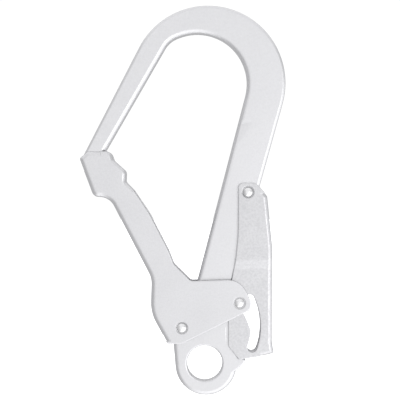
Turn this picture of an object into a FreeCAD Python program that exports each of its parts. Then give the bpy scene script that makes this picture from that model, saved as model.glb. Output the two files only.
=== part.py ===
import FreeCAD, Part
import math
import os

# Steel snap hook with a large gate opening. All sizes are in millimetres.
# The eye bore is at the origin, Z runs up towards the crown, X runs across the
# hook with the gate on the -X side, and the thickness lies along Y.

# ---------------------------------------------------------------- hook body
EYE_BORE = 10.8
EYE_CENTRE = (0.8, -0.9)
EYE_RADIUS = 18.9
CROWN_CENTRE = (2.1, 172.2)
CROWN_RADIUS = 47.6
THROAT_CENTRE = (-4.6, 172.0)
THROAT_RADIUS = 30.6
ARM_OUTER_ANGLE = 153.0
SPINE_OUTER_ANGLE = -15.6
SPINE_INNER_ANGLE = -14.6
CROWN_HALF = 5.0
EYE_HALF = 4.0
OUTER_ROUND = 2.1
THROAT_ROUND = 3.0
EYE_ROUND = 3.0
BORE_ROUND = 1.2
SPUR_ROUND = 1.2
RUNOUT_START = (31.0, 148.6)
RUNOUT_SKEW = 28.0
RUNOUT_TILT = 1.7
RUNOUT_CUTTER = 9.0

# ------------------------------------------------- rivets, centres in X and Z
GATE_PIVOT = (-14.0, 22.2)
LEVER_PIVOT = (26.5, 105.1)
LOCK_PIN = (21.2, 37.4)
PIVOT_SHANK = 3.0
PIN_SHANK = 1.6
RUNNING_GAP = 0.08
HEAD_RADIUS = 3.1
HEAD_RISE = 1.7
DIMPLE_RADIUS = 3.75
DIMPLE_DEPTH = 0.7
LOBE_RADIUS = 6.4

# --------------------------------------------------------------------- gate
GATE_INNER = 6.2
GATE_SHEET = 2.0
GATE_OUTER = GATE_INNER + GATE_SHEET
GATE_EDGE_ROUND = 0.5
GATE_FOLD_ROUND = 3.4
NOSE_FOLD_ROUND = 2.2
FOLD_TOP = 118.0
FOLD_BOTTOM = 18.0
GATE_TRAVEL = 34.0

# --------------------------------------------------------------- lock lever
LEVER_SHEET = 1.6
LEVER_LOW_INNER = 4.25
LEVER_HIGH_INNER = 5.1
JOGGLE_LOW = 58.0
JOGGLE_HIGH = 63.6
LEVER_EDGE_ROUND = 0.4
LEVER_FOLD_ROUND = 2.6
LEVER_WEB_TOP = 102.8
LEVER_TRAVEL = 5.2
SLOT_CENTRE = (-6.5, 22.9)
SLOT_OUTER = 40.8
SLOT_WIDTH = 6.0
PIN_GAP = 0.2

# ------------------------------------------------------------------ springs
COIL_WIRE = 0.8
COIL_RADIUS = 4.4
COIL_PARTS = 3
ANCHOR_HEIGHT = 41.5
BRIDGE = (-29.4, 45.0)
PUSH_WIRE = 0.8
PUSH_RADIUS = 2.0
PUSH_TURNS = 8.0
PUSH_HEIGHT = 76.0
PUSH_END = 39.5
POCKET_RADIUS = 2.9
POCKET_DEPTH = 6.0


def vec(x, z, y=0.0):
    """A point of the front view at depth y."""
    return FreeCAD.Vector(x, y, z)


def polar(centre, radius, degrees):
    """The point at an angle on a circle, in front view coordinates."""
    a = math.radians(degrees)
    return (centre[0] + radius * math.cos(a), centre[1] + radius * math.sin(a))


def turned(point, centre, degrees):
    """A point turned about a centre, counterclockwise in the front view."""
    a = math.radians(degrees)
    dx = point[0] - centre[0]
    dz = point[1] - centre[1]
    return (
        centre[0] + dx * math.cos(a) - dz * math.sin(a),
        centre[1] + dx * math.sin(a) + dz * math.cos(a),
    )


def tangent_corner(centre, radius, first, second):
    """Where the tangents of a circle at two angles cross, kept as a rounded corner."""
    middle = (first + second) / 2.0
    reach = radius / math.cos(math.radians(abs(first - second) / 2.0))
    x, z = polar(centre, reach, middle)
    return (x, z, radius)


def rounded_wire(corners, place):
    """A closed wire through corners (u, v, rounding radius)."""
    count = len(corners)
    starts = []
    ends = []
    middles = []
    for i in range(count):
        u, v, radius = corners[i]
        here = place(u, v)
        before = place(corners[i - 1][0], corners[i - 1][1])
        after = place(corners[(i + 1) % count][0], corners[(i + 1) % count][1])
        towards_before = (before - here).normalize()
        towards_after = (after - here).normalize()
        half = towards_before.getAngle(towards_after) / 2.0
        if radius <= 0.0 or math.pi / 2.0 - half < 1e-4:
            starts.append(here)
            ends.append(here)
            middles.append(None)
            continue
        back = radius / math.tan(half)
        bisector = (towards_before + towards_after).normalize()
        centre = here + bisector * (radius / math.sin(half))
        starts.append(here + towards_before * back)
        ends.append(here + towards_after * back)
        middles.append(centre - bisector * radius)
    edges = []
    for i in range(count):
        if middles[i] is not None:
            edges.append(Part.Arc(starts[i], middles[i], ends[i]).toShape())
        following = starts[(i + 1) % count]
        if (following - ends[i]).Length > 1e-4:
            edges.append(Part.LineSegment(ends[i], following).toShape())
    return Part.Wire(edges)


def slab(corners, y_low, y_high):
    """A front view outline extruded through the thickness."""
    face = Part.Face(rounded_wire(corners, lambda u, v: vec(u, v, y_low)))
    return face.extrude(FreeCAD.Vector(0, y_high - y_low, 0))


def side_profile(corners, x_low, x_high):
    """A side view outline (y, z, rounding) extruded across the hook."""
    face = Part.Face(rounded_wire(corners, lambda u, v: FreeCAD.Vector(x_low, u, v)))
    return face.extrude(FreeCAD.Vector(x_high - x_low, 0, 0))


def rod(point, radius, y_low, y_high):
    """A cylinder through the thickness."""
    base = vec(point[0], point[1], y_low)
    return Part.makeCylinder(radius, y_high - y_low, base, FreeCAD.Vector(0, 1, 0))


def round_edges(solid, radius, chosen):
    """Fillets the edges that the test picks."""
    edges = [e for e in solid.Edges if chosen(e)]
    return solid.makeFillet(radius, edges).Solids[0]


def lies_at(edge, y):
    """True when an edge lies in one of the two planes at plus and minus y."""
    depths = [abs(v.Y) for v in edge.Vertexes] + [abs(edge_middle(edge).y)]
    return max(depths) - min(depths) < 0.01 and abs(depths[0] - y) < 0.01


def edge_middle(edge):
    return edge.valueAt((edge.FirstParameter + edge.LastParameter) / 2.0)


def save(name, shape):
    shape.exportStep("parts/" + name + ".step")
    print(name, len(shape.Solids), round(shape.Volume, 1), shape.isValid())


def thickness_profile():
    """Side view of the forging: full at the crown, drawn down towards the eye."""
    right = [
        (EYE_HALF, -30.0, 0.0),
        (EYE_HALF, 66.0, 60.0),
        (CROWN_HALF, 150.0, 60.0),
        (CROWN_HALF, 230.0, 0.0),
    ]
    left = [(-y, z, r) for y, z, r in reversed(right)]
    drawn = side_profile(right + left, -90.0, 60.0)
    arm_low = vec(-90.0, 100.0, -CROWN_HALF)
    arm_block = Part.makeBox(65.0, 2.0 * CROWN_HALF, 125.0, arm_low)
    return drawn.fuse(arm_block)


def crossing(point_a, angle_a, point_b, angle_b):
    """Where two front view lines, each a point and a heading, cross."""
    ax = math.cos(math.radians(angle_a))
    az = math.sin(math.radians(angle_a))
    bx = math.cos(math.radians(angle_b))
    bz = math.sin(math.radians(angle_b))
    dx = point_b[0] - point_a[0]
    dz = point_b[1] - point_a[1]
    along = (dx * bz - dz * bx) / (ax * bz - az * bx)
    return (point_a[0] + along * ax, point_a[1] + along * az)


def body_outline():
    """The hook in front view, from its tip round the crown to the eye and back."""
    back_point = polar(CROWN_CENTRE, CROWN_RADIUS, SPINE_OUTER_ANGLE)
    back_low = crossing(back_point, SPINE_OUTER_ANGLE - 90.0, (15.5, 0.0), 90.0)
    eye_left = polar(EYE_CENTRE, EYE_RADIUS, 185.0)
    lobe_top = polar(GATE_PIVOT, LOBE_RADIUS, 110.0)
    lobe_corner = crossing(eye_left, 95.0, lobe_top, 20.0)
    front_point = polar(THROAT_CENTRE, THROAT_RADIUS, SPINE_INNER_ANGLE)
    lobe_root = crossing(lobe_top, 20.0, front_point, SPINE_INNER_ANGLE - 90.0)
    throat_end = polar(THROAT_CENTRE, THROAT_RADIUS, 112.0)
    arm_corner = crossing(throat_end, 202.0, (-59.5, 132.7), 60.0)
    eye_right = polar(EYE_CENTRE, EYE_RADIUS, 20.0)
    eye_shoulder = crossing(eye_right, 110.0, (15.5, 0.0), 90.0)
    return [
        (-75.4, 126.0, 3.2),
        tangent_corner(CROWN_CENTRE, CROWN_RADIUS, ARM_OUTER_ANGLE, 90.0),
        tangent_corner(CROWN_CENTRE, CROWN_RADIUS, 90.0, 37.0),
        tangent_corner(CROWN_CENTRE, CROWN_RADIUS, 37.0, SPINE_OUTER_ANGLE),
        (back_low[0], back_low[1], 20.0),
        (eye_shoulder[0], eye_shoulder[1], 8.0),
        tangent_corner(EYE_CENTRE, EYE_RADIUS, 20.0, -25.0),
        tangent_corner(EYE_CENTRE, EYE_RADIUS, -25.0, -70.0),
        tangent_corner(EYE_CENTRE, EYE_RADIUS, -70.0, -125.0),
        tangent_corner(EYE_CENTRE, EYE_RADIUS, -125.0, -175.0),
        (lobe_corner[0], lobe_corner[1], LOBE_RADIUS),
        (lobe_root[0], lobe_root[1], 5.0),
        tangent_corner(THROAT_CENTRE, THROAT_RADIUS, SPINE_INNER_ANGLE, 40.0),
        tangent_corner(THROAT_CENTRE, THROAT_RADIUS, 40.0, 112.0),
        (arm_corner[0], arm_corner[1], 15.0),
        (-64.0, 125.0, 3.2),
        (-70.8, 122.2, 3.2),
    ]


def spring_pocket():
    """Blind hole in the back of the spine that seats the lever's push spring."""
    bottom = vec(spine_back_x(PUSH_HEIGHT) - POCKET_DEPTH, PUSH_HEIGHT)
    return Part.makeCylinder(POCKET_RADIUS, 30.0, bottom, FreeCAD.Vector(1, 0, 0))


def runout_cut():
    """The shallow flat along the spine's inner half, ending in a curved step."""
    slope = math.tan(math.radians(RUNOUT_SKEW))
    corners = [
        (-20.0, -75.0, 0.0),
        (20.0, -75.0, 0.0),
        (20.0, 20.0 * slope, 0.0),
        (-20.0, -20.0 * slope, 0.0),
    ]
    flat = slab(corners, 0.0, 10.0)
    along = vec(math.cos(math.radians(RUNOUT_SKEW)), math.sin(math.radians(RUNOUT_SKEW)))
    end_start = vec(0.0, 0.0, RUNOUT_CUTTER) - along * 25.0
    cutter = flat.fuse(Part.makeCylinder(RUNOUT_CUTTER, 50.0, end_start, along))
    tilt = FreeCAD.Rotation(FreeCAD.Vector(0, 0, 1), RUNOUT_TILT)
    heading = FreeCAD.Rotation(FreeCAD.Vector(0, 1, 0), -SPINE_INNER_ANGLE)
    cutter.Placement = FreeCAD.Placement(vec(*RUNOUT_START, CROWN_HALF), heading.multiply(tilt))
    return cutter.fuse(cutter.mirror(FreeCAD.Vector(0, 0, 0), FreeCAD.Vector(0, 1, 0)))


def spur():
    """The back edge under the lock lever, ending in a pointed lug beside the eye."""
    outline = [
        (12.4, 31.0, 0.0),
        (18.4, 31.0, 2.0),
        (18.6, 9.0, 4.0),
        (20.4, 3.4, 2.0),
        (25.3, 2.7, SPUR_ROUND + 0.1),
        (24.9, 0.1, SPUR_ROUND + 0.1),
        (15.0, -8.0, 0.0),
        (12.4, -8.0, 0.0),
    ]
    return round_edges(
        slab(outline, -EYE_HALF, EYE_HALF), SPUR_ROUND, lambda edge: lies_at(edge, EYE_HALF))


def hook_body():
    """The forged hook: arm, crown, spine, pivot lobe, spur and lanyard eye."""
    solid = slab(body_outline(), -10.0, 10.0).common(thickness_profile())
    middle = ((CROWN_CENTRE[0] + THROAT_CENTRE[0]) / 2.0, CROWN_CENTRE[1])
    middle_radius = (CROWN_RADIUS + THROAT_RADIUS) / 2.0 + 1.2
    throat_zone = [(-100.0, 110.0, 0.0), (-69.5, 125.0, 0.0)]
    for angle in range(150, -30, -30):
        x, z = polar(middle, middle_radius, angle)
        throat_zone.append((x, z, 0.0))
    throat_zone += [(6.0, 40.0, 0.0), (-12.0, 22.0, 0.0), (-100.0, 22.0, 0.0)]
    eye_zone = [(-60.0, -40.0, 0.0), (60.0, -40.0, 0.0), (60.0, 22.0, 0.0), (-60.0, 22.0, 0.0)]

    def rim(edge):
        return edge.BoundBox.YLength < 1.3 and abs(edge_middle(edge).y) > EYE_HALF - 0.1

    whole = round_edges(solid, OUTER_ROUND, rim)
    pieces = []
    for region, radius in ((throat_zone, THROAT_ROUND), (eye_zone, EYE_ROUND)):
        zone = slab(region, -15.0, 15.0)
        pieces.append(round_edges(solid, radius, rim).common(zone))
        whole = whole.cut(zone)
    solid = whole.multiFuse(pieces + [spur()]).removeSplitter().Solids[0]
    solid = solid.cut(runout_cut()).Solids[0]
    solid = solid.cut(rod((0.0, 0.0), EYE_BORE, -8.0, 8.0))

    def bore_rim(edge):
        middle = edge_middle(edge)
        inside = math.hypot(middle.x, middle.z) < EYE_BORE + 0.01
        return inside and lies_at(edge, EYE_HALF)

    solid = round_edges(solid, BORE_ROUND, bore_rim)
    for place in (GATE_PIVOT, LEVER_PIVOT):
        solid = solid.cut(rod(place, PIVOT_SHANK + RUNNING_GAP, -8.0, 8.0))
    return solid.cut(spring_pocket())


def gate_outline():
    """The folded keeper in front view, from the top of its nose clockwise."""
    return [
        (-71.8, 130.2, 1.5),
        (-57.9, 130.2, 4.0),
        (-55.9, 124.6, 3.0),
        (-48.3, 117.8, 3.5),
        (-48.6, 111.5, 3.0),
        (-43.8, 106.7, 4.0),
        (-34.0, 92.2, 30.0),
        (-22.0, 69.0, 30.0),
        (-18.9, 61.0, 4.0),
        (-8.4, 50.7, 3.0),
        (21.6, 51.7, 12.0),
        (30.4, 34.4, 5.5),
        (-13.8, 12.6, 2.0),
        (-22.8, 12.4, 1.0),
        (-33.2, 31.2, 25.0),
        (-32.6, 52.4, 14.0),
        (-58.4, 102.0, 10.0),
        (-68.0, 102.2, 4.5),
        (-76.9, 125.8, 1.5),
    ]


def gate_open_sides():
    """Front view regions where the keeper has no web and its plates stand apart."""
    inner_side = [
        (-47.5, 105.5, 0.0),
        (-29.0, 66.0, 0.0),
        (-25.0, 40.0, 0.0),
        (-21.0, FOLD_BOTTOM, 0.0),
        (-35.0, FOLD_BOTTOM, 0.0),
        (-35.0, 8.0, 0.0),
        (45.0, 8.0, 0.0),
        (45.0, 60.0, 0.0),
        (0.0, 60.0, 0.0),
        (-32.0, 108.0, 0.0),
    ]
    outer_side = [
        (-85.0, FOLD_TOP, 0.0),
        (-68.0, FOLD_TOP, 0.0),
        (-60.5, 126.0, 0.0),
        (-60.5, 140.0, 0.0),
        (-85.0, 140.0, 0.0),
    ]
    return inner_side, outer_side


def rounded_by_zone(sharp, edge_round, folds):
    """Rounds a rim a little all round, and more inside each front view region."""
    rest = round_edges(sharp, edge_round, folds[0][2])
    rounded = []
    for region, radius, rim in folds:
        zone = slab(region, -15.0, 15.0)
        rounded.append(round_edges(sharp, radius, rim).common(zone))
        rest = rest.cut(zone)
    return rest.multiFuse(rounded).removeSplitter().Solids[0]


def gate():
    """Keeper folded from sheet: a channel open towards the spine, closed round the tip."""
    outer_zone = [
        (-100.0, 140.0, 0.0),
        (-66.0, 140.0, 0.0),
        (-60.0, 112.0, 0.0),
        (-47.5, 102.5, 0.0),
        (-26.0, 60.0, 0.0),
        (-21.0, 14.0, 0.0),
        (-100.0, 14.0, 0.0),
    ]
    nose_zone = [
        (-66.0, 140.0, 0.0),
        (-60.0, 112.0, 0.0),
        (-47.5, 102.5, 0.0),
        (-41.0, 108.2, 0.0),
        (-30.0, 140.0, 0.0),
    ]

    def rim(edge):
        return lies_at(edge, GATE_OUTER)

    plain = slab(gate_outline(), -GATE_OUTER, GATE_OUTER)
    folds = [(outer_zone, GATE_FOLD_ROUND, rim), (nose_zone, NOSE_FOLD_ROUND, rim)]
    folded = rounded_by_zone(plain, GATE_EDGE_ROUND, folds)
    low_face = Part.Face(rounded_wire(gate_outline(), lambda u, v: vec(u, v, -GATE_INNER)))
    inset = low_face.makeOffset2D(-GATE_SHEET)
    hollow = inset.extrude(FreeCAD.Vector(0, 2.0 * GATE_INNER, 0))
    for region in gate_open_sides():
        hollow = hollow.fuse(slab(region, -GATE_INNER, GATE_INNER))
    return folded.cut(hollow)


def lever_outline():
    """The lock lever in front view, from its top left corner clockwise."""
    return [
        (20.5, 110.8, 3.0),
        (31.6, 110.7, 5.0),
        (38.3, 102.8, 3.0),
        (41.4, 72.0, 40.0),
        (41.3, 13.0, 8.0),
        (42.5, 6.4, 1.2),
        (37.0, 4.9, 8.0),
        (24.5, 3.1, 4.0),
        (21.2, 2.3, 1.2),
        (14.4, 10.6, 4.0),
        (14.4, 40.0, 30.0),
        (19.1, 64.9, 40.0),
        (20.5, 80.0, 40.0),
    ]


def lever_profile(low, high, low_end, high_end):
    """Side view of the lever's plates with the joggle between two half widths."""
    right = [
        (low, low_end, 0.0),
        (low, JOGGLE_LOW, 5.0),
        (high, JOGGLE_HIGH, 5.0),
        (high, high_end, 0.0),
    ]
    left = [(-y, z, r) for y, z, r in reversed(right)]
    return side_profile(right + left, 0.0, 60.0)


def pin_in_lever(share):
    """The lock pin's centre, seen from the lever, part way through the motion."""
    moved = turned(LOCK_PIN, GATE_PIVOT, -GATE_TRAVEL * share)
    return turned(moved, LEVER_PIVOT, LEVER_TRAVEL * share)


def arc_band(points, half_width):
    """A round-ended slot along the arc through three front view points."""
    start, middle, end = [vec(*p) for p in points]
    circle = Part.Arc(start, middle, end).toShape().Curve
    centre = circle.Center

    def beside(point, offset):
        return centre + (point - centre).normalize() * (circle.Radius + offset)

    def cap(point, inner_point):
        along = FreeCAD.Vector(0, 1, 0).cross(point - centre).normalize()
        if along.dot(inner_point - point) > 0:
            along = along * -1.0
        far = point + along * half_width
        return Part.Arc(beside(point, half_width), far, beside(point, -half_width)).toShape()

    rims = []
    for offset in (half_width, -half_width):
        arc = Part.Arc(beside(start, offset), beside(middle, offset), beside(end, offset))
        rims.append(arc.toShape())
    edges = Part.__sortEdges__(rims + [cap(start, middle), cap(end, middle)])
    face = Part.Face(Part.Wire(edges))
    face.translate(FreeCAD.Vector(0, -20.0, 0))
    return face.extrude(FreeCAD.Vector(0, 40.0, 0))


def lever_slot():
    """The pin's pocket and path joined to the curved window behind it."""
    pin_line = [pin_in_lever(share) for share in (0.0, 0.5, 1.0)]
    path = arc_band(pin_line, PIN_SHANK + PIN_GAP)
    radius = SLOT_OUTER - SLOT_WIDTH / 2.0
    window_line = [polar(SLOT_CENTRE, radius, a) for a in (-20.0, 3.0, 26.0)]
    window = arc_band(window_line, SLOT_WIDTH / 2.0)
    return path.fuse(window)


def lock_lever():
    """Thumb lever folded from sheet: a channel over the back of the spine."""
    profile = lever_profile(
        LEVER_LOW_INNER + LEVER_SHEET, LEVER_HIGH_INNER + LEVER_SHEET, 0.0, 120.0)
    plain = slab(lever_outline(), -12.0, 12.0).common(profile)
    back_zone = [
        (34.0, 0.0, 0.0),
        (34.0, 80.0, 0.0),
        (30.0, 104.5, 0.0),
        (60.0, 104.5, 0.0),
        (60.0, 0.0, 0.0),
    ]

    def rim(edge):
        m = edge_middle(edge)
        return abs(m.y) > LEVER_LOW_INNER and edge.BoundBox.YLength < 1.2

    folded = rounded_by_zone(plain, LEVER_EDGE_ROUND, [(back_zone, LEVER_FOLD_ROUND, rim)])
    low_face = Part.Face(rounded_wire(lever_outline(), lambda u, v: vec(u, v, -12.0)))
    inside = low_face.makeOffset2D(-LEVER_SHEET).extrude(FreeCAD.Vector(0, 24.0, 0))
    open_front = slab([
        (0.0, -5.0, 0.0),
        (38.5, -5.0, 0.0),
        (38.5, 12.0, 0.0),
        (30.0, 60.0, 0.0),
        (28.0, LEVER_WEB_TOP, 0.0),
        (50.0, LEVER_WEB_TOP, 0.0),
        (50.0, 120.0, 0.0),
        (0.0, 120.0, 0.0),
    ], -12.0, 12.0)
    hollow = inside.fuse(open_front).common(
        lever_profile(LEVER_LOW_INNER, LEVER_HIGH_INNER, -10.0, 130.0))
    return folded.cut(hollow).cut(lever_slot())


def rivet(place, shank, half_length):
    """A cross rivet with a domed head sunk a little into each plate."""
    seat = half_length - DIMPLE_DEPTH
    solid = rod(place, shank, -seat, seat)
    dome_base = 0.25
    ball = (HEAD_RADIUS ** 2 + HEAD_RISE ** 2) / (2.0 * HEAD_RISE)
    for side in (1.0, -1.0):
        low = min(side * seat, side * (seat + dome_base))
        high = max(side * seat, side * (seat + dome_base))
        solid = solid.fuse(rod(place, HEAD_RADIUS, low, high))
        centre = vec(place[0], place[1], side * (seat + dome_base + HEAD_RISE - ball))
        cap = Part.makeSphere(ball, centre)
        reach = sorted((side * (seat + dome_base), side * (seat + dome_base + HEAD_RISE)))
        cap = cap.common(rod(place, HEAD_RADIUS, reach[0], reach[1]))
        solid = solid.fuse(cap)
    return solid.removeSplitter()


def dimple(place, half_length):
    """The shallow recess that each rivet head sits in, on both sides."""
    seat = half_length - DIMPLE_DEPTH
    pocket = rod(place, DIMPLE_RADIUS, seat, half_length + 5.0)
    return pocket.fuse(rod(place, DIMPLE_RADIUS, -half_length - 5.0, -seat))


def helix_wire(pitch, turns, radius, wire_radius):
    """Round wire wound about Z, starting at +X in the plane z = 0."""
    path = Part.makeHelix(pitch, pitch * turns, radius)
    ring = Part.makeCircle(wire_radius, FreeCAD.Vector(radius, 0, 0), FreeCAD.Vector(0, 1, 0))
    return Part.Wire(path.Edges).makePipeShell([Part.Wire(ring)], True, True)


def straight_wire(start, end, wire_radius):
    return Part.makeCylinder(wire_radius, (end - start).Length, start, end - start)


def bent_wire(points, wire_radius, bend):
    """Straight runs of round wire through a list of points, with a bend at each corner."""
    pieces = []
    start = points[0]
    for corner, following in zip(points[1:], points[2:]):
        back = (start - corner).normalize()
        onward = (following - corner).normalize()
        half = back.getAngle(onward) / 2.0
        bend_start = corner + back * (bend / math.tan(half))
        bend_end = corner + onward * (bend / math.tan(half))
        centre = corner + (back + onward).normalize() * (bend / math.sin(half))
        disc = Part.Face(Part.Wire([Part.makeCircle(wire_radius, bend_start, back)]))
        axis = (bend_start - centre).cross(bend_end - centre)
        pieces.append(straight_wire(start, bend_start, wire_radius))
        pieces.append(disc.revolve(centre, axis, 180.0 - math.degrees(2.0 * half)))
        start = bend_end
    pieces.append(straight_wire(start, points[-1], wire_radius))
    return pieces


def tangent_angle(target, centre, radius, sign):
    """Angle on a circle whose tangent passes through a point outside it."""
    dx = target[0] - centre[0]
    dz = target[1] - centre[1]
    spread = math.degrees(math.acos(radius / math.hypot(dx, dz)))
    return math.degrees(math.atan2(dz, dx)) + sign * spread


def spine_back_x(z):
    """Where the straight back edge of the spine stands at a height."""
    back_point = polar(CROWN_CENTRE, CROWN_RADIUS, SPINE_OUTER_ANGLE)
    return crossing(back_point, SPINE_OUTER_ANGLE - 90.0, (0.0, z), 0.0)[0]


def spine_front_x(z):
    """Where the straight front edge of the spine stands at a height."""
    front_point = polar(THROAT_CENTRE, THROAT_RADIUS, SPINE_INNER_ANGLE)
    return crossing(front_point, SPINE_INNER_ANGLE - 90.0, (0.0, z), 0.0)[0]


def lever_spring():
    """Compression spring from the spine's pocket to the inside of the lever's fold."""
    wire = PUSH_WIRE / 2.0
    start = spine_back_x(PUSH_HEIGHT) - POCKET_DEPTH + 0.05 + wire
    end = PUSH_END - 0.05 - wire
    coil = helix_wire((end - start) / PUSH_TURNS, PUSH_TURNS, PUSH_RADIUS, wire)
    turn = FreeCAD.Rotation(FreeCAD.Vector(0, 0, 1), FreeCAD.Vector(1, 0, 0))
    coil.Placement = FreeCAD.Placement(vec(start, PUSH_HEIGHT), turn)
    return coil


def gate_spring():
    """Double torsion spring: a coil each side of the lobe and a bridge under the fold."""
    wire = COIL_WIRE / 2.0
    pitch = COIL_WIRE + 0.05
    near = EYE_HALF + 0.1 + wire
    anchor = (spine_front_x(ANCHOR_HEIGHT) - wire - 0.1, ANCHOR_HEIGHT)
    first = tangent_angle(anchor, GATE_PIVOT, COIL_RADIUS, -1.0)
    last = tangent_angle(BRIDGE, GATE_PIVOT, COIL_RADIUS, 1.0)
    turns = 2.0 - (last - first) / 360.0
    far = near + pitch * turns
    lay_down = FreeCAD.Rotation(FreeCAD.Vector(1, 0, 0), -90.0)
    coil = []
    for part in range(COIL_PARTS):
        done = turns * part / COIL_PARTS
        curl = helix_wire(pitch, turns / COIL_PARTS, COIL_RADIUS, wire)
        wind_from = FreeCAD.Rotation(FreeCAD.Vector(0, 1, 0), 360.0 * done - first)
        start = vec(*GATE_PIVOT, near + pitch * done)
        curl.Placement = FreeCAD.Placement(start, wind_from.multiply(lay_down))
        coil.append(curl)
    leave_coil = vec(*polar(GATE_PIVOT, COIL_RADIUS, first), near)
    join_bridge = vec(*polar(GATE_PIVOT, COIL_RADIUS, last), far)
    pieces = bent_wire([leave_coil, vec(*anchor, near), vec(*anchor, 1.2)], wire, 1.0)
    pieces += bent_wire([join_bridge, vec(*BRIDGE, far), vec(*BRIDGE, 0.0)], wire, 1.2)
    half = coil[0].multiFuse(coil[1:] + pieces)
    other = half.mirror(FreeCAD.Vector(0, 0, 0), FreeCAD.Vector(0, 1, 0))
    return half.fuse(other).Solids[0]


def main():
    os.makedirs("parts", exist_ok=True)
    gate_shape = gate()
    lever_shape = lock_lever()
    for place, shank in ((GATE_PIVOT, PIVOT_SHANK), (LOCK_PIN, PIN_SHANK)):
        gate_shape = gate_shape.cut(rod(place, shank, -20.0, 20.0)).cut(dimple(place, GATE_OUTER))
    lever_outer = LEVER_HIGH_INNER + LEVER_SHEET
    lever_shape = lever_shape.cut(rod(LEVER_PIVOT, PIVOT_SHANK, -20.0, 20.0))
    lever_shape = lever_shape.cut(dimple(LEVER_PIVOT, lever_outer))
    save("hook_body", hook_body())
    save("gate", gate_shape)
    save("lock_lever", lever_shape)
    save("gate_pivot_rivet", rivet(GATE_PIVOT, PIVOT_SHANK, GATE_OUTER))
    save("lever_pivot_rivet", rivet(LEVER_PIVOT, PIVOT_SHANK, lever_outer))
    save("lock_pin", rivet(LOCK_PIN, PIN_SHANK, GATE_OUTER))
    save("gate_spring", gate_spring())
    save("lever_spring", lever_spring())


main()
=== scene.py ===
import math

import bpy
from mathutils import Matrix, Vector


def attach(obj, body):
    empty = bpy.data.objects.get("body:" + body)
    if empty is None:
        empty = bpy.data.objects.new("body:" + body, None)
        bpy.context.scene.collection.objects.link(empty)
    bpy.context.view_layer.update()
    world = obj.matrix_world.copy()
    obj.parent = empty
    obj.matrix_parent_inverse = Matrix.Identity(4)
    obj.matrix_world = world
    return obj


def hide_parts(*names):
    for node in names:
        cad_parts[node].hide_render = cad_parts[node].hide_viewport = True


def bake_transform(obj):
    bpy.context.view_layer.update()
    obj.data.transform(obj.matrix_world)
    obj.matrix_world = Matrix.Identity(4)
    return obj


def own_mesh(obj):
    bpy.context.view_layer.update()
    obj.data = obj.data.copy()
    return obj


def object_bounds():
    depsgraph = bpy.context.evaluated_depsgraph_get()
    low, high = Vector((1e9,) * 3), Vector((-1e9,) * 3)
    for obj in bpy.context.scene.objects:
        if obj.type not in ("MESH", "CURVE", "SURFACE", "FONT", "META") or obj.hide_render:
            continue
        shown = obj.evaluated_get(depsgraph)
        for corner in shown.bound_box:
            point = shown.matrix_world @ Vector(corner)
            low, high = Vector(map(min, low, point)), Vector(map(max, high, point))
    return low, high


# Camera and floor, in metres.
CAMERA_DISTANCE = 0.60
PICTURE_WIDTH = 0.2472
PICTURE_CENTRE_X = -0.0029
PICTURE_CENTRE_Z = 0.1003
SENSOR = 36.0
FLOOR_GAP = 0.012
FLOOR_HALF = 6.0

# Brightness of each part of the studio that the metal reflects.
FRONT_LEVEL = 0.98
BACK_LEVEL = 0.46
CEILING_LEVEL = 0.95
SIDE_LEVEL = 0.60
DARK_LEVEL = 0.58
LAMP_LEVEL = 0.70
BACKDROP_LEVEL = 1.05
STUDIO_COLOUR = (0.985, 0.985, 1.0, 1.0)
WHITE = (1.0, 1.0, 1.0, 1.0)

# Where each part starts and ends, as how far a direction points towards its heading.
AWAY = (0.0, 1.0, 0.0)
UP = (0.0, 0.0, 1.0)
LAMP_HEADING = (0.57, 0.0, -0.82)
DARK_HEADING = (-0.80, 0.10, -0.45)
FRONT_SPREAD = (0.05, -0.97)
BACK_SPREAD = (0.35, 0.8)
CEILING_SPREAD = (0.1, 0.7)
CEILING_CUTOFF = (0.9, 0.6)
LAMP_SPREAD = (0.16, 0.70)
LAMP_CUTOFF = (0.5, 0.1)
DARK_SPREAD = (-0.2, 0.9)

# A weak lamp in the scene itself, low on the right.
KEY_PLACE = (0.5, -0.9, -0.02)
KEY_AIM = (0.0, 0.0, 0.1)
KEY_SIZE = 0.5
KEY_POWER = 0.8

# Finishes: colour, roughness, depth and fineness of the mottling, and edge wear.
FORGED_FINISH = {"tint": (0.83, 0.83, 0.84), "roughness": 0.34, "mottle": 0.05,
                 "grain": 900.0, "edge_wear": 0.0002}
GATE_FINISH = {"tint": (0.82, 0.82, 0.83), "roughness": 0.34, "mottle": 0.07,
               "grain": 1300.0, "edge_wear": 0.0007}
LEVER_FINISH = {"tint": (0.79, 0.79, 0.80), "roughness": 0.34, "mottle": 0.15,
                "grain": 800.0, "edge_wear": 0.0007}
RIVET_FINISH = {"tint": (0.95, 0.95, 0.95), "roughness": 0.28, "mottle": 0.04,
                "grain": 900.0, "edge_wear": 0.0001}
SPRING_FINISH = {"tint": (0.55, 0.55, 0.57), "roughness": 0.30, "mottle": 0.05,
                 "grain": 1500.0, "edge_wear": 0.0001}
# Dark colour mixed in both for the random mottling and for the painted shade round the rivet
# heads.
MOTTLE_AND_SHADE_DARK = (0.10, 0.10, 0.11, 1.0)
CLOUD_SCALE = 45.0
WEAR_SAMPLES = 8

# Rounding of the cut edges.
EDGE_ROUND_SHEET = 0.00025
EDGE_ROUND_RIVET = 0.00015
EDGE_ROUND_FORGED = 0.00025
WELD_REACH = 0.000002
SHARP_ANGLE = math.radians(25.0)

# Painted shade: a darker ring painted into the colour in the narrow gap round each rivet's
# head.
SEAT_INNER = 0.0028
SEAT_OUTER = 0.0036
RING_BLUR = 0.0003
SEAT_SHADE = 0.85


def new_material(name):
    """An empty node material with its output in place."""
    material = bpy.data.materials.new(name)
    material.use_nodes = True
    tree = material.node_tree
    tree.nodes.clear()
    return material, tree


def add(tree, kind, **inputs):
    """A shader node with some of its sockets set by name."""
    node = tree.nodes.new(kind)
    for name, value in inputs.items():
        node.inputs[name.replace("_", " ")].default_value = value
    return node


def link(tree, source, output, target, socket):
    """Joins one node's output to another's input."""
    tree.links.new(source.outputs[output], target.inputs[socket])


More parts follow.
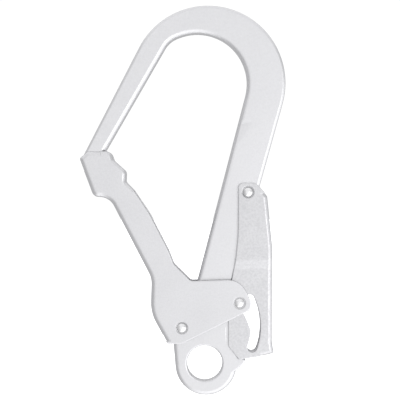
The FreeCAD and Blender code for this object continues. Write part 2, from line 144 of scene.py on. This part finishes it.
def noise(tree, coordinates, scale, detail, roughness):
    """A noise texture that stays fixed to the piece."""
    node = add(tree, "ShaderNodeTexNoise", Scale=scale, Detail=detail, Roughness=roughness)
    link(tree, coordinates, "Object", node, "Vector")
    return node


def remap(tree, source, output, low, high, to_low, to_high):
    """Maps a value linearly from one range to another, clamped."""
    node = tree.nodes.new("ShaderNodeMapRange")
    node.inputs["From Min"].default_value = low
    node.inputs["From Max"].default_value = high
    node.inputs["To Min"].default_value = to_low
    node.inputs["To Max"].default_value = to_high
    link(tree, source, output, node, "Value")
    return node


def curve_up(tree, source, spread, low, high):
    """An eased step between two levels across a spread of directions."""
    node = remap(tree, source, "Value", spread[0], spread[1], low, high)
    node.interpolation_type = "SMOOTHSTEP"
    return node


def combine(tree, operation, first, second):
    """Arithmetic on two nodes that each give one value."""
    node = tree.nodes.new("ShaderNodeMath")
    node.operation = operation
    tree.links.new(first.outputs[0], node.inputs[0])
    tree.links.new(second.outputs[0], node.inputs[1])
    return node


def vector_step(tree, operation, source, output, value):
    """Vector arithmetic between a node's output and a fixed vector."""
    node = tree.nodes.new("ShaderNodeVectorMath")
    node.operation = operation
    node.inputs[1].default_value = value
    link(tree, source, output, node, 0)
    return node


def towards(tree, where, direction):
    """How far a world direction points along a given one, from -1 to 1."""
    return vector_step(tree, "DOT_PRODUCT", where, "Generated", Vector(direction).normalized())


def node_box(node_name):
    """Lowest and highest corner of a CAD node at rest."""
    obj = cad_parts[node_name]
    corners = [obj.matrix_world @ Vector(corner) for corner in obj.bound_box]
    low = [min(corner[i] for corner in corners) for i in range(3)]
    high = [max(corner[i] for corner in corners) for i in range(3)]
    return low, high


def rivet_centre(node_name):
    """A rivet's axis, seen from the front, as a point in the middle plane."""
    low, high = node_box(node_name)
    return ((low[0] + high[0]) / 2.0, 0.0, (low[2] + high[2]) / 2.0)


def painted_seat_shade(tree, coordinates, rivet):
    """A value that drops in the narrow gap round a rivet head: painted shade there, darkening
    the colour.
    """
    apart = vector_step(tree, "SUBTRACT", coordinates, "Object", rivet)
    flat = vector_step(tree, "MULTIPLY", apart, "Vector", (1.0, 0.0, 1.0))
    reach = tree.nodes.new("ShaderNodeVectorMath")
    reach.operation = "LENGTH"
    link(tree, flat, "Vector", reach, 0)
    inner = (SEAT_INNER - RING_BLUR, SEAT_INNER)
    outer = (SEAT_OUTER, SEAT_OUTER + RING_BLUR)
    falling = remap(tree, reach, "Value", inner[0], inner[1], 1.0, SEAT_SHADE)
    rising = remap(tree, reach, "Value", outer[0], outer[1], 0.0, 1.0 - SEAT_SHADE)
    return combine(tree, "ADD", falling, rising)


def zinc_plate(name, rivets, tint, roughness, mottle, grain, edge_wear):
    """Satin zinc plating: clouded, finely mottled, with a faint orange-peel relief, and
    painted shade round each given rivet head.
    """
    material, tree = new_material(name)
    out = tree.nodes.new("ShaderNodeOutputMaterial")
    metal = add(tree, "ShaderNodeBsdfPrincipled", Metallic=1.0)
    coordinates = tree.nodes.new("ShaderNodeTexCoord")
    clouds = noise(tree, coordinates, CLOUD_SCALE, 3.0, 0.55)
    spots = noise(tree, coordinates, grain, 4.0, 0.6)
    relief = noise(tree, coordinates, grain * 0.55, 3.0, 0.5)
    cloud_value = remap(tree, clouds, "Fac", 0.3, 0.7, 1.0 - mottle * 0.5, 1.0)
    spot_value = remap(tree, spots, "Fac", 0.35, 0.68, 1.0 - mottle, 1.0)
    shade = combine(tree, "MULTIPLY", cloud_value, spot_value)
    # Painted shade: the colour is darkened in the gap round each rivet head.
    for rivet in rivets:
        shade = combine(tree, "MULTIPLY", shade, painted_seat_shade(tree, coordinates, rivet))
    colour = tree.nodes.new("ShaderNodeMixRGB")
    colour.inputs["Color1"].default_value = MOTTLE_AND_SHADE_DARK
    colour.inputs["Color2"].default_value = (tint[0], tint[1], tint[2], 1.0)
    link(tree, shade, "Value", colour, "Fac")
    link(tree, colour, "Color", metal, "Base Color")
    rough = remap(tree, spots, "Fac", 0.3, 0.7, roughness + 0.06, roughness - 0.04)
    link(tree, rough, "Result", metal, "Roughness")
    worn = add(tree, "ShaderNodeBevel", Radius=edge_wear)
    worn.samples = WEAR_SAMPLES
    bump = add(tree, "ShaderNodeBump", Strength=0.10, Distance=0.0002)
    link(tree, worn, "Normal", bump, "Normal")
    link(tree, relief, "Fac", bump, "Height")
    link(tree, bump, "Normal", metal, "Normal")
    link(tree, metal, "BSDF", out, "Surface")
    return material


def dress(node_name, material, edge_round):
    """Gives a CAD node its finish and softens its cut edges."""
    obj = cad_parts[node_name]
    obj.data.materials.clear()
    obj.data.materials.append(material)
    weld = obj.modifiers.new("weld", "WELD")
    weld.merge_threshold = WELD_REACH
    bevel = obj.modifiers.new("soft_edges", "BEVEL")
    bevel.width = edge_round
    bevel.segments = 3
    bevel.limit_method = "ANGLE"
    bevel.angle_limit = SHARP_ANGLE
    flats = obj.modifiers.new("flat_faces", "WEIGHTED_NORMAL")
    flats.mode = "FACE_AREA"
    flats.weight = 100
    flats.keep_sharp = False


def flexing_copy(node_name, material):
    """A free copy of a spring's CAD shape with the given material, shown in place of the
    hidden CAD node.
    """
    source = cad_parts[node_name]
    mesh = source.data.copy()
    mesh.materials.clear()
    mesh.materials.append(material)
    piece = bpy.data.objects.new(node_name + "_wire", mesh)
    bpy.context.scene.collection.objects.link(piece)
    piece.matrix_world = source.matrix_world.copy()
    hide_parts(node_name)
    return piece


def floor_material():
    """Pale matte floor that reads as white paper."""
    material, tree = new_material("pale_floor")
    out = tree.nodes.new("ShaderNodeOutputMaterial")
    paper = add(tree, "ShaderNodeBsdfPrincipled", Roughness=0.9)
    coordinates = tree.nodes.new("ShaderNodeTexCoord")
    fibre = noise(tree, coordinates, 30.0, 2.0, 0.5)
    white = remap(tree, fibre, "Fac", 0.3, 0.7, 0.93, 0.95)
    link(tree, white, "Result", paper, "Base Color")
    paper.inputs["Emission Color"].default_value = WHITE
    paper.inputs["Emission Strength"].default_value = 1.0
    link(tree, paper, "BSDF", out, "Surface")
    return material


def make_floor(lowest):
    """A flat floor a little below the object, which the metal doesn't reflect."""
    mesh = bpy.data.meshes.new("floor")
    half = FLOOR_HALF
    z = lowest - FLOOR_GAP
    corners = [(-half, -half, z), (half, -half, z), (half, half, z), (-half, half, z)]
    mesh.from_pydata(corners, [], [(0, 1, 2, 3)])
    floor = bpy.data.objects.new("floor", mesh)
    mesh.materials.append(floor_material())
    bpy.context.scene.collection.objects.link(floor)
    floor.visible_glossy = False


def make_world():
    """A white studio: a broad front panel, a lamp low to the right, and dim sides."""
    world = bpy.data.worlds.new("studio")
    bpy.context.scene.world = world
    world.use_nodes = True
    tree = world.node_tree
    tree.nodes.clear()
    out = tree.nodes.new("ShaderNodeOutputWorld")
    where = tree.nodes.new("ShaderNodeTexCoord")
    depth = towards(tree, where, AWAY)
    height = towards(tree, where, UP)
    lamp_side = towards(tree, where, LAMP_HEADING)
    dark_side = towards(tree, where, DARK_HEADING)
    front = curve_up(tree, depth, FRONT_SPREAD, 0.0, FRONT_LEVEL)
    back = curve_up(tree, depth, BACK_SPREAD, 0.0, BACK_LEVEL)
    side = curve_up(tree, dark_side, DARK_SPREAD, SIDE_LEVEL, DARK_LEVEL)
    above = curve_up(tree, height, CEILING_SPREAD, 0.0, CEILING_LEVEL)
    ceiling = combine(tree, "MULTIPLY", above, curve_up(tree, depth, CEILING_CUTOFF, 0.0, 1.0))
    sector = curve_up(tree, lamp_side, LAMP_SPREAD, 0.0, LAMP_LEVEL)
    lamp = combine(tree, "MULTIPLY", sector, curve_up(tree, depth, LAMP_CUTOFF, 0.0, 1.0))
    level = combine(tree, "MAXIMUM", combine(tree, "MAXIMUM", front, back), side)
    level = combine(tree, "ADD", level, lamp)
    level = combine(tree, "MAXIMUM", level, ceiling)
    studio = add(tree, "ShaderNodeBackground", Color=STUDIO_COLOUR)
    link(tree, level, "Value", studio, "Strength")
    backdrop = add(tree, "ShaderNodeBackground", Color=WHITE, Strength=BACKDROP_LEVEL)
    path = tree.nodes.new("ShaderNodeLightPath")
    pick = tree.nodes.new("ShaderNodeMixShader")
    link(tree, path, "Is Camera Ray", pick, "Fac")
    link(tree, studio, "Background", pick, 1)
    link(tree, backdrop, "Background", pick, 2)
    link(tree, pick, "Shader", out, "Surface")


def make_key():
    """The key: a square area light aimed at the middle of the hook."""
    data = bpy.data.lights.new("key", "AREA")
    data.shape = "RECTANGLE"
    data.size = KEY_SIZE
    data.size_y = KEY_SIZE
    data.energy = KEY_POWER
    light = bpy.data.objects.new("key", data)
    light.location = KEY_PLACE
    heading = Vector(KEY_AIM) - Vector(KEY_PLACE)
    light.rotation_euler = heading.to_track_quat("-Z", "Y").to_euler()
    bpy.context.scene.collection.objects.link(light)


def make_camera():
    """A level camera straight in front, framed as wide as the picture."""
    data = bpy.data.cameras.new("camera")
    data.sensor_width = SENSOR
    data.lens = SENSOR * CAMERA_DISTANCE / PICTURE_WIDTH
    data.clip_start = 0.01
    camera = bpy.data.objects.new("camera", data)
    camera.location = (PICTURE_CENTRE_X, -CAMERA_DISTANCE, PICTURE_CENTRE_Z)
    camera.rotation_euler = (math.radians(90.0), 0.0, 0.0)
    bpy.context.scene.collection.objects.link(camera)
    bpy.context.scene.camera = camera


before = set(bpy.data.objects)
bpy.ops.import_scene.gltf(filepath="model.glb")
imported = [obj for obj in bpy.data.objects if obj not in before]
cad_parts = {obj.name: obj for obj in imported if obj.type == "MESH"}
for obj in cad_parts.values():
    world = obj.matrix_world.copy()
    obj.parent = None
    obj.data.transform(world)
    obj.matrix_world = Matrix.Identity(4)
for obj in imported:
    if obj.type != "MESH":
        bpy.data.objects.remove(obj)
start_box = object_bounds()

gate_pivot = rivet_centre("gate_pivot_rivet")
lock_pin = rivet_centre("lock_pin")
lever_pivot = rivet_centre("lever_pivot_rivet")
gate_rivets = [gate_pivot, lock_pin]

forged = zinc_plate("forged_zinc", [], **FORGED_FINISH)
gate_sheet = zinc_plate("gate_zinc", gate_rivets, **GATE_FINISH)
lever_sheet = zinc_plate("lever_zinc", [lever_pivot], **LEVER_FINISH)
bright = zinc_plate("rivet_zinc", gate_rivets + [lever_pivot], **RIVET_FINISH)
spring = zinc_plate("spring_wire", [], **SPRING_FINISH)

dress("hook_body", forged, EDGE_ROUND_FORGED)
dress("gate", gate_sheet, EDGE_ROUND_SHEET)
dress("lock_lever", lever_sheet, EDGE_ROUND_SHEET)
for name in ("gate_pivot_rivet", "lever_pivot_rivet", "lock_pin"):
    dress(name, bright, EDGE_ROUND_RIVET)

gate_wire = flexing_copy("gate_spring", spring)
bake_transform(gate_wire)

lever_wire = flexing_copy("lever_spring", spring)
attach(lever_wire, "hook")
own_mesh(lever_wire)

make_floor(start_box[0][2])
make_world()
make_camera()
make_key()
bpy.context.scene.view_settings.view_transform = "Standard"
